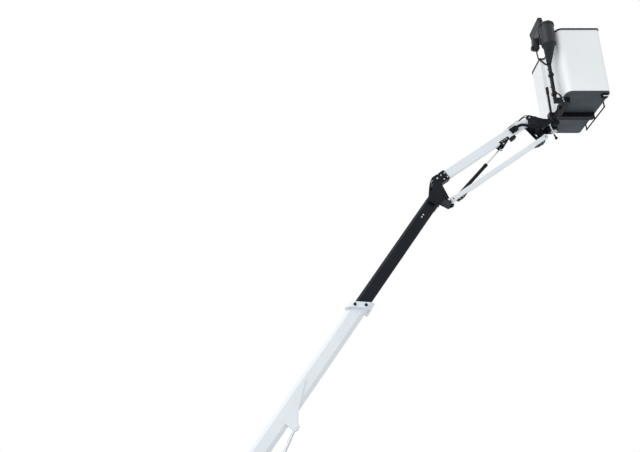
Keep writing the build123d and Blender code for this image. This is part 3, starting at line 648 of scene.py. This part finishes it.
def boom_hoses():
    """From the top of the valve cover into the boom's rear cap."""
    hose_y, port_x, port_bore, diameter = (-42, 0, 42), -335.0, 12, 20
    body = bmesh.new()
    for y in hose_y:
        fitting(body, seat(row, (port_x, y, cover_high.z)), port_bore)
    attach(zinc("valve_cover_ports", body), "turret")
    for i, y in enumerate(hose_y):
        route = [
            *on(row, (port_x, y, cover_high.z + 30), (port_x, y, 1080), (port_x - 8, y, 1190)),
            *on(boom, (-105, y, 98), (-40, y, 108), (25, y, 96), (75, y, 72), (112, y, 60)),
        ]
        boom_hose = hose(f"boom_hose_{i + 1}", route, diameter)
        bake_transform(boom_hose)


# Elbow: flush screws in the inner boom's sides, and the bolts on the two pins' caps

def elbow_bolts():
    """Screws flush enough to pass the slide pads, and bolts on the caps of the elbow's pins."""
    tube_half, jib_cap, near_rod_cap, far_rod_cap = 75.0, 140.0, 99.0, 140.0
    screw_along, screw_radius, screw_rise = (4834, 4878), 12, 0.2
    jib_flats, rod_flats = 24, 19
    jib_place = boom.inverted() @ jib_pin / MM
    rod_place = boom.inverted() @ rod_pin / MM
    body = bmesh.new()
    for side in both_sides:
        out = (0, side, 0)
        for x in screw_along:
            disc(body, seat(boom, (x, side * tube_half, 0), out), screw_radius, screw_rise)
        bolts(body, boom, [(jib_place.x, side * jib_cap, jib_place.z)], out, jib_flats)
    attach(zinc("elbow_bolts", body), "inner_boom")
    body = bmesh.new()
    for y, out in ((-near_rod_cap, near), (far_rod_cap, far)):
        bolts(body, boom, [(rod_place.x, y, rod_place.z)], out, rod_flats, washer=False)
    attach(black("level_rod_bolts", body), "inner_boom")


# Jib: the bolts of its root socket and ram lugs, and of the levelling rod's shoes

def jib_bolts():
    """Four bolts on each side of the root socket, and those of the ram's lugs."""
    socket_half, socket_flats = 62.0, 20
    socket_places = ((116, 33), (186, 32), (186, -46), (116, -49))
    near_lug, near_lug_x, near_lug_z, near_lug_flats = 60.0, (1300, 1345, 1390), -60, 14
    eye_x, eye_z, eye_flats = 1296, -104, 20
    far_lug, far_lug_x, far_lug_z, far_lug_flats = 118.0, (1240, 1352), 45, 16
    body = bmesh.new()
    for side in both_sides:
        places = [(x, side * socket_half, z) for x, z in socket_places]
        bolts(body, jib, places, (0, side, 0), socket_flats)
    bolts(body, jib, [(x, -near_lug, near_lug_z) for x in near_lug_x], near, near_lug_flats)
    bolts(body, jib, [(eye_x, -near_lug, eye_z)], near, eye_flats)
    bolts(body, jib, [(x, far_lug, far_lug_z) for x in far_lug_x], far, far_lug_flats)
    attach(zinc("jib_bolts", body), "jib")


def level_shoe_bolts():
    """Two bolts in each shoe of the rod."""
    shoe_side, bolt_z, from_pin, flats = -80, -54, (92, 150), 11
    length = (jib_tip - jib_pin).length / MM
    body = bmesh.new()
    for x in from_pin:
        bolts(body, level_rod, [(x, shoe_side, bolt_z), (length - x, shoe_side, bolt_z)], near, flats)
    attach(zinc("level_shoe_bolts", body), "levelling_rod")


def elbow_hoses():
    """Out of the inner boom's mouth, round the back of the pivot, into the jib's root."""
    hose_y, diameter = (-34, 0, 34), 18
    gland_x, gland_z, gland_out = 88, 72, (-0.8, 0, 0.6)
    gland_foot, gland_top, gland_height = 15, 11, 26
    body = bmesh.new()
    for y in hose_y:
        gland = seat(jib, (gland_x, y, gland_z), gland_out)
        disc(body, gland, gland_foot, gland_height, edge=2, top=gland_top)
    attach(rubber("elbow_glands", body), "jib")
    for i, y in enumerate(hose_y):
        route = [
            *on(boom, (5120, y, 83), (5180, y, 84), (5228, y, 92), (5268, y, 112), (5312, y, 136)),
            *on(boom, (5358, y, 160), (5405, y, 182), (5445, y, 198)),
            *on(jib, (-25, y, 78), (15, y, 86), (52, y, 86), (92, y, 69)),
        ]
        elbow_hose = hose(f"elbow_hose_{i + 1}", route, diameter)
        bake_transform(elbow_hose)


# Tip: the hose bundle from the jib's sheath past leveller and yoke to the bucket, and what holds it
bundle_rise, bundle_diameter = (18, 0, -18), 17
clamp_y, beam_run_x, beam_run_z = -177.0, 257.0, 204.0
beam_clamp_y, column_hose_x, column_hose_y = -252, beam_run_x - 4, (-392, -412)


def tip_hose_clamp():
    """A clamp on a stand-off from the tip's near plate."""
    stand_off, stand_off_size = (-12, -122, -83), (34, 12, 44)
    clamp_place, clamp_size = (0, -160, -82), (34, 76, 34)
    body = bmesh.new()
    slab(body, seat(tip, stand_off, near), stand_off_size)
    clamp(body, tip, clamp_place, clamp_size)
    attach(black("tip_hose_clamp", body), "tip_head")


def tip_cover():
    """A thin cover plate on the near side of the tip, behind the hoses."""
    outline = ((-232, 40), (-236, -62), (-206, -98), (-30, -104), (30, -60), (0, 40))
    face_y, thickness, corner_round = -130.2, 3, 14
    body = bmesh.new()
    body.faces.new([body.verts.new((x * MM, z * MM, 0)) for x, z in reversed(outline)])
    bmesh.ops.bevel(
        body,
        geom=body.verts[:],
        offset=corner_round * MM,
        affect="VERTICES",
        segments=4,
        profile=0.5,
        material=-1,
    )
    sheet = bmesh.ops.extrude_face_region(body, geom=body.faces[:])
    lifted = [v for v in sheet["geom"] if isinstance(v, bmesh.types.BMVert)]
    bmesh.ops.translate(body, verts=lifted, vec=(0, 0, thickness * MM))
    body.transform(seat(tip, (0, face_y, 0), near))
    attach(black("tip_cover", body), "tip_head")


def yoke_hose_clamp():
    """The bundle's clamp on the yoke, the rotator's valve block and the bolts of the yoke's two arms."""
    clamp_place, clamp_size = (146, -146, 22), (34, 76, 48)
    valve_place, valve_size = (180, 0, 58), (170, 76, 70)
    arm_face, arm_circle, arm_count, arm_flats = 147, 45, 6, 13
    body = bmesh.new()
    clamp(body, tip, clamp_place, clamp_size)
    slab(body, seat(tip, valve_place, back), valve_size, edge=5)
    for side in both_sides:
        places = [(x, side * arm_face, z) for x, z in ring(arm_count, arm_circle)]
        bolts(body, tip, places, (0, side, 0), arm_flats, washer=False)
    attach(black("yoke_hose_clamp", body), "yoke")


def lever_grip():
    """The rubber grip on the lock lever's end."""
    lever_top, lever_end, grip_face = Vector((95, -155, -42)), Vector((168, -155, -305)), -146.0
    knob_radius, knob_width, sleeve_radius, sleeve_top, sleeve_length = 19, 38, 14, 12, 70
    body = bmesh.new()
    knob = seat(tip, (lever_end.x, grip_face, lever_end.z), near)
    disc(body, knob, knob_radius, knob_width, edge=6)
    sleeve = seat(tip, lever_end, lever_top - lever_end)
    disc(body, sleeve, sleeve_radius, sleeve_length, edge=4, top=sleeve_top)
    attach(rubber("lever_grip", body), "yoke")


def beam_clamps():
    """A clamp on the side beam, and the block where the bundle ends and the column's hoses start."""
    beam_face, clamp_size = 268, (30, 76, 26)
    block_y, block_size, block_top = -402, (44, 70, 34), 34
    bundle_end_y, bundle_bore, column_bore = -382, 7, 6
    body = bmesh.new()
    slab(body, seat(tip, (beam_face, beam_clamp_y, beam_run_z), back), clamp_size, edge=3)
    slab(body, seat(tip, (beam_face, block_y, beam_run_z), back), block_size, edge=3)
    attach(black("beam_hose_clamp", body), "bucket")
    body = bmesh.new()
    for rise in bundle_rise:
        fitting(body, seat(tip, (beam_run_x, bundle_end_y, beam_run_z + rise), far), bundle_bore)
    for y in column_hose_y:
        fitting(body, seat(tip, (column_hose_x, y, beam_run_z + block_top)), column_bore)
    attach(zinc("beam_fittings", body), "bucket")


def jib_stretch(number, rise):
    """A hose of the bundle from the jib's sheath to the tip's clamp."""
    along_jib = on(jib, (1600, -69, rise), (1640, -74, rise))
    to_tip = on(
        tip,
        (-376, -105, -38 + rise),
        (-340, -142, -48 + rise),
        (-300, -160, -62 + rise),
        (-258, -168, -77 + rise),
        (-206, -173, -87 + rise),
        (-145, -176, -90 + rise),
        (-80, clamp_y, -90 + rise),
        (-35, clamp_y, -87 + rise),
        (0, clamp_y, -82 + rise),
    )
    bundle_hose = hose(f"jib_bundle_{number}", along_jib + to_tip, bundle_diameter)
    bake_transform(bundle_hose)


def leveller_stretch(number, rise):
    """On from the tip's clamp past the leveller to the yoke's clamp."""
    to_yoke = on(
        tip,
        (0, clamp_y, -82 + rise),
        (35, clamp_y, -70 + rise),
        (75, clamp_y, -40 + rise),
        (112, clamp_y, -8 + rise),
        (146, clamp_y, 22 + rise),
    )
    bundle_hose = hose(f"leveller_bundle_{number}", to_yoke, bundle_diameter)
    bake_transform(bundle_hose)


def rotator_stretch(number, rise):
    """On from the yoke's clamp past the rotator to the side beam's clamp."""
    to_bucket = on(
        tip,
        (146, clamp_y, 22 + rise),
        (178, clamp_y, 54 + rise),
        (208, clamp_y - 4, 100 + rise),
        (232, clamp_y - 14, 150 + rise),
        (250, clamp_y - 32, 190 + rise),
        (beam_run_x, beam_clamp_y, beam_run_z + rise),
    )
    bundle_hose = hose(f"rotator_bundle_{number}", to_bucket, bundle_diameter)
    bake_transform(bundle_hose)


def beam_stretch(number, rise):
    """On along the side beam to its block."""
    along_beam = on(
        tip,
        (beam_run_x, beam_clamp_y, beam_run_z + rise),
        (beam_run_x - 2, -290, beam_run_z + rise),
        (beam_run_x, -325, beam_run_z + rise),
        (beam_run_x, -362, beam_run_z + rise),
    )
    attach(hose(f"beam_bundle_{number}", along_beam, bundle_diameter), "bucket")


def hose_bundle():
    """Three hoses in four stretches, each held at both ends."""
    for i, rise in enumerate(bundle_rise):
        for stretch in (jib_stretch, leveller_stretch, rotator_stretch, beam_stretch):
            stretch(i + 1, rise)


def column_hoses():
    """Two hoses up the console's column into its funnel, held by clips."""
    column_x, column_face, clip_z, clip_size = 123.0, -429.0, (480, 820), (46, 22, 26)
    half_pitch, diameter = 9, 13
    body = bmesh.new()
    for z in clip_z:
        slab(body, seat(tip, (column_x, column_face, z), far), clip_size, edge=3)
    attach(black("column_clips", body), "bucket")
    for i, (y, shift) in enumerate(zip(column_hose_y, (half_pitch, -half_pitch))):
        x = column_x + shift
        route = on(
            tip,
            (column_hose_x, y, beam_run_z + 50),
            (column_hose_x, y, 300),
            (232, y, 352),
            (178, -404, 385),
            (x + 8, -408, 425),
            (x, -412, 500),
            (x, -414, 640),
            (x, -414, 800),
            (x, -420, 880),
            (x, -446, 950),
        )
        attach(hose(f"column_hose_{i + 1}", route, diameter), "bucket")


# Jib's end: a bright manifold, two hoses over the pin to the leveller, and two back into the jib
jib_top, over_y = 73.0, (-26, 26)
manifold_z = jib_top + 15


def jib_manifold():
    """A bright block on the jib's end with a port for each hose."""
    middle_x, size = 1735, (80, 84, 30)
    fore_port_x, fore_bore, back_port_x, back_bore = 1774, 9, 1697, 8
    body = bmesh.new()
    slab(body, seat(jib, (middle_x, 0, jib_top)), size, edge=3)
    for y in over_y:
        fitting(body, seat(jib, (fore_port_x, y, manifold_z), fore), fore_bore)
        fitting(body, seat(jib, (back_port_x, y, manifold_z), back), back_bore)
    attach(zinc("jib_manifold", body), "jib")


def leveller_block():
    """A fitting block between the tip's plates, and the bolts on the caps of the jib's pin."""
    block_place, block_size = (-104, 0, 104), (60, 239, 26)
    hose_x, hose_z, hose_out, hose_bore = -124, 124, (-0.55, 0, 0.83), 9
    plug_x, plug_z, plug_out, plug_bore, plug_spread = -92, 128, (0.1, 0, 1), 7, 1.8
    cap_face, cap_flats = 134, 22
    body = bmesh.new()
    slab(body, seat(tip, block_place), block_size, edge=3)
    for y in over_y:
        fitting(body, seat(tip, (hose_x, y, hose_z), hose_out), hose_bore)
        fitting(body, seat(tip, (plug_x, y * plug_spread, plug_z), plug_out), plug_bore)
    cap = tip.inverted() @ jib_tip / MM
    for side in both_sides:
        bolts(body, tip, [(cap.x, side * cap_face, cap.z)], (0, side, 0), cap_flats)
    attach(zinc("leveller_block", body), "tip_head")


def level_tip_bolts():
    """A bolt on each end of the levelling rod's pin in the tip head."""
    flats = 19
    low, high = extent("level_tip_pin")
    middle = (low + high) / 2
    body = bmesh.new()
    for y, out in ((low.y, near), (high.y, far)):
        bolts(body, row, [(middle.x, y, middle.z)], out, flats, washer=False)
    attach(black("level_tip_bolts", body), "tip_head")


def leveller_hoses():
    """From the manifold over the jib's pin to the leveller's block."""
    diameter = 14
    for i, y in enumerate(over_y):
        route = [
            *on(jib, (1792, y, manifold_z), (1850, y, manifold_z + 5)),
            *on(tip, (-256, y, 178), (-214, y, 200), (-172, y, 192), (-148, y, 162), (-132, y, 136)),
        ]
        over_hose = hose(f"leveller_hose_{i + 1}", route, diameter)
        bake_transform(over_hose)


def jib_top_hoses():
    """From the manifold back into the jib through a rubber gland."""
    diameter = 13
    gland_x, gland_sunk, gland_out = 1512, 2, (0.35, 0, 1)
    gland_foot, gland_top, gland_height = 34, 26, 9
    for i, y in enumerate(over_y):
        route = on(
            jib,
            (1680, y, manifold_z),
            (1640, y, manifold_z),
            (1585, y * 0.9, jib_top + 12),
            (1530, y * 0.6, jib_top + 2),
            (1480, y * 0.4, jib_top - 20),
        )
        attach(hose(f"jib_top_hose_{i + 1}", route, diameter), "jib")
    body = bmesh.new()
    gland = seat(jib, (gland_x, 0, jib_top - gland_sunk), gland_out)
    disc(body, gland, gland_foot, gland_height, edge=3, top=gland_top)
    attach(rubber("jib_top_gland", body), "jib")


def king_bolts():
    """The bolts under the king post's cap."""
    circle, count, flats = 30, 4, 14
    low, high = extent("king_post")
    axis_x = (low.x + high.x) / 2
    body = bmesh.new()
    bolts(body, row, [(axis_x + x, y, low.z) for x, y in ring(count, circle)], down, flats)
    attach(zinc("king_bolts", body), "bucket")


# Console: a panel in the pot's well with levers in rubber boots, switches and a stop button
pot_x, pot_y, well_z, panel_thick = 4720.0, -580.0, 8430.0, 5
panel_z = well_z + panel_thick


def on_panel(x, y):
    """A place on the panel, from the pot's middle."""
    return seat(row, (pot_x + x, pot_y + y, panel_z))


def console_panel():
    """The round panel in the well."""
    radius = 96
    body = bmesh.new()
    disc(body, seat(row, (pot_x, pot_y, well_z)), radius, panel_thick, sides=64, edge=1.5)
    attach(piece("console_panel", body, FINISH["grey_paint"]), "bucket")


def console_levers():
    """Three levers, each a folded boot, a stem and a knob."""
    places = ((-26, 44), (-26, -8), (30, -50))
    # The boot's three folds and the stem: lower radius, upper radius, foot and height
    boot_and_stem = ((24, 20, 0, 6), (20, 12, 6, 9), (15, 8, 15, 9), (5, 5, 24, 38))
    knob_foot, knob_middle, knob_height = 62, 72, 12
    knob_low_radius, knob_radius = 9, 14
    body = bmesh.new()
    for x, y in places:
        base = on_panel(x, y)
        for radius, top, foot, height in boot_and_stem:
            disc(body, raised(base, foot), radius, height, top=top, edge=1)
        disc(body, raised(base, knob_foot), knob_low_radius, knob_middle - knob_foot, top=knob_radius)
        disc(body, raised(base, knob_middle), knob_radius, knob_height, edge=5)
    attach(rubber("console_levers", body), "bucket")


def console_switches():
    """Four toggle switches, leaning one way."""
    places = ((-70, 20), (-72, -6), (-66, -32), (8, -84))
    nut_radius, nut_height, arm_radius, arm_top, arm_length = 8, 4, 3.5, 4.5, 20
    lean = Matrix.Rotation(radians(15), 4, "X")
    body = bmesh.new()
    for x, y in places:
        base = on_panel(x, y)
        disc(body, base, nut_radius, nut_height, sides=6, edge=0.8)
        disc(body, base @ lean, arm_radius, arm_length, top=arm_top, edge=1)
    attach(zinc("console_switches", body), "bucket")


def stop_button():
    """A red mushroom button."""
    x, y = 42, 34
    stem_radius, skirt_radius, cap_radius = 14, 17, 22
    stem_height, skirt_height, cap_height = 14, 6, 10
    base = on_panel(x, y)
    body = bmesh.new()
    disc(body, base, stem_radius, stem_height)
    disc(body, raised(base, stem_height), skirt_radius, skirt_height, top=cap_radius)
    disc(body, raised(base, stem_height + skirt_height), cap_radius, cap_height, edge=5)
    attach(piece("stop_button", body, stop_red), "bucket")


def cable_box():
    """The cable box under the control box, round the top of the guard strap."""
    box_x, box_y, box_z, box_size = 4560, -450.0, 8066, (96, 96, 206)
    neck_x, neck_z, neck_size = 4508, 8104, (64, 70, 26)
    screw_side, screw_z, screw_flats = 26, 8100, 14
    body = bmesh.new()
    slab(body, seat(row, (box_x, box_y, box_z)), box_size, edge=12)
    slab(body, seat(row, (neck_x, box_y, neck_z), back), neck_size, edge=8)
    near_face = box_y - box_size[1] / 2
    screws = [(box_x + side * screw_side, near_face, screw_z) for side in both_sides]
    bolts(body, row, screws, near, screw_flats)
    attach(piece("cable_box", body, FINISH["dark_moulding"]), "bucket")


def console_foot_bolts():
    """Two bolts at the foot of the console's column."""
    face, places, flats = -472, ((238, 218), (246, 182)), 20
    body = bmesh.new()
    bolts(body, tip, [(x, face, z) for x, z in places], near, flats)
    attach(zinc("console_foot_bolts", body), "bucket")


# Bucket: the bright strip on the rest foot, and the ribbed mat on the floor

def foot_strip():
    """The strip near the foot's lower edge."""
    rise, size = 10, (82, 14, 6)
    low, high = extent("rest_foot")
    body = bmesh.new()
    slab(body, seat(row, ((low.x + high.x) / 2, low.y, low.z + rise), near), size)
    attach(piece("foot_strip", body, FINISH["white_paint"]), "bucket")


def bucket_mat():
    """A rubber mat with ribs across the bucket."""
    floor, inset, thickness = 12.0, 46.0, 5
    rib_pitch, rib_width, rib_height = 40.0, 14, 3
    low, high = extent("bucket_shell")
    floor_z = low.z + floor
    middle_x = (low.x + high.x) / 2
    length, width = high.x - low.x - 2 * inset, high.y - low.y - 2 * inset
    body = bmesh.new()
    slab(body, seat(row, (middle_x, 0, floor_z)), (length, width, thickness))
    rib_count = int((length - rib_pitch) / rib_pitch)
    for i in range(rib_count):
        x = middle_x + (i - (rib_count - 1) / 2) * rib_pitch
        rib_size = (rib_width, width - rib_pitch, rib_height)
        slab(body, seat(row, (x, 0, floor_z + thickness)), rib_size, edge=1)
    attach(rubber("bucket_mat", body), "bucket")


# Camera, light and floor

def look():
    """The photograph's viewpoint: beside the lift, looking up at it."""
    image_width_px, focal_length_px, sensor_width, pitch = 640, 610, 36.0, 22.1
    place = (1.028, -8.6, 1.658)
    camera = bpy.data.cameras.new("camera")
    camera.sensor_width = sensor_width
    camera.lens = focal_length_px / image_width_px * sensor_width
    camera.clip_end = 200.0
    eye = bpy.data.objects.new("camera", camera)
    eye.location = place
    eye.rotation_euler = (radians(90 + pitch), 0, 0)
    bpy.context.scene.collection.objects.link(eye)
    bpy.context.scene.camera = eye


def daylight():
    """White to camera, glossy and transmitted rays, and an even soft light on the lift."""
    sky_strength, sun_strength, sun_spread = 0.8, 1.05, radians(50)
    sun_heading = Vector((0.66, 0.42, -0.62))
    world = bpy.data.worlds.new("white studio")
    bpy.context.scene.world = world
    world.use_nodes = True
    tree = world.node_tree
    tree.nodes.clear()
    path = add(tree, "ShaderNodeLightPath", {})
    seen = path.outputs["Is Camera Ray"]
    for ray in ("Is Glossy Ray", "Is Transmission Ray"):
        either = add(tree, "ShaderNodeMath", {0: seen, 1: path.outputs[ray]}, operation="MAXIMUM")
        seen = either.outputs["Value"]
    soft = add(tree, "ShaderNodeBackground", {"Color": linear("#F0F5FA"), "Strength": sky_strength})
    white = add(tree, "ShaderNodeBackground", {"Color": linear("#FFFFFF"), "Strength": 1.0})
    both = add(
        tree,
        "ShaderNodeMixShader",
        {0: seen, 1: soft.outputs["Background"], 2: white.outputs["Background"]},
    )
    add(tree, "ShaderNodeOutputWorld", {"Surface": both.outputs["Shader"]})
    sun = bpy.data.lights.new("soft key", "SUN")
    sun.energy = sun_strength
    sun.angle = sun_spread
    key = bpy.data.objects.new("soft key", sun)
    key.rotation_euler = sun_heading.to_track_quat("-Z", "Y").to_euler()
    bpy.context.scene.collection.objects.link(key)


def pale_floor():
    """A wide round studio floor in matt off-white."""
    ground = bmesh.new()
    bmesh.ops.create_circle(ground, cap_ends=True, segments=96, radius=30.0)
    material, _, shader, _ = finish_tree("pale studio floor")
    surface(shader, Roughness=0.9, Base_Color=linear("#EDEDEB"))
    piece("studio_floor", ground, material)


pedestal_bolts()
turret_bolts()
oil_joint_body()
oil_joint_stem()
feed_hoses()
slew_motor_hose()
lift_valve_block()
lift_hoses()
rear_cap_bolts()
boom_hoses()
elbow_bolts()
jib_bolts()
level_shoe_bolts()
elbow_hoses()
tip_hose_clamp()
tip_cover()
yoke_hose_clamp()
lever_grip()
beam_clamps()
hose_bundle()
column_hoses()
jib_manifold()
leveller_block()
level_tip_bolts()
leveller_hoses()
jib_top_hoses()
king_bolts()
console_panel()
console_levers()
console_switches()
stop_button()
cable_box()
console_foot_bolts()
foot_strip()
bucket_mat()
look()
daylight()
pale_floor()
bpy.context.scene.view_settings.view_transform = "Standard"
